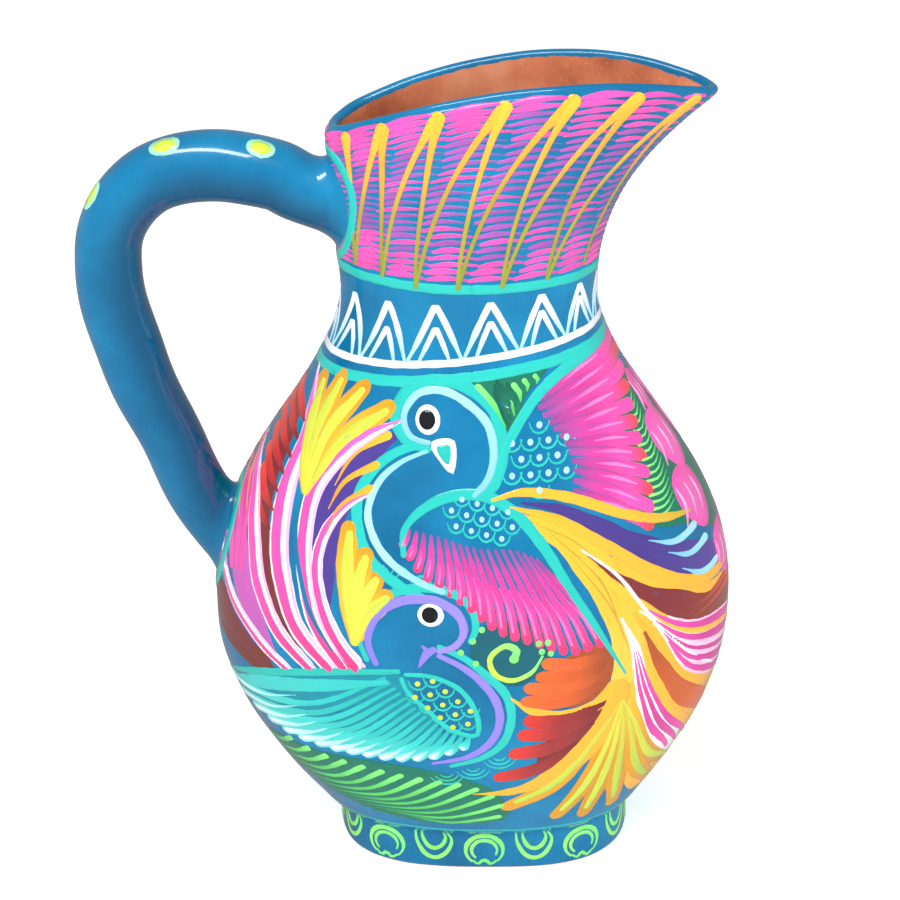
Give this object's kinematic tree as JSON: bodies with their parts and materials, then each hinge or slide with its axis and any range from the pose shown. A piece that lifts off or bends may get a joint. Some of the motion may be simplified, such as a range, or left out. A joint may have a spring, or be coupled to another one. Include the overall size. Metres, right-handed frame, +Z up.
{
  "type": "earthenware water jug",
  "caption": "Hand-painted earthenware jug with a flattened belly on an oval foot, a flared pointed mouth and a thick loop handle.",
  "frame": {"origin": "centre of the foot's underside, on the table", "axes": "+Z up; +X to the spout and -X to the handle; -Y is the front face with the two birds"},
  "size_m": [0.2244, 0.141, 0.2809],
  "materials": {
    "painted_clay": "brush-painted turquoise blue under a clear gloss varnish",
    "bare_clay": "unpainted fired terracotta"
  },
  "bodies": {
    "root": {"front_half": "painted_clay", "back_half": "painted_clay", "foot_ring": "painted_clay", "floor_slab": "bare_clay", "handle": "painted_clay", "upper_collar": "painted_clay", "lower_collar": "painted_clay"}
  },
  "joints": []
}
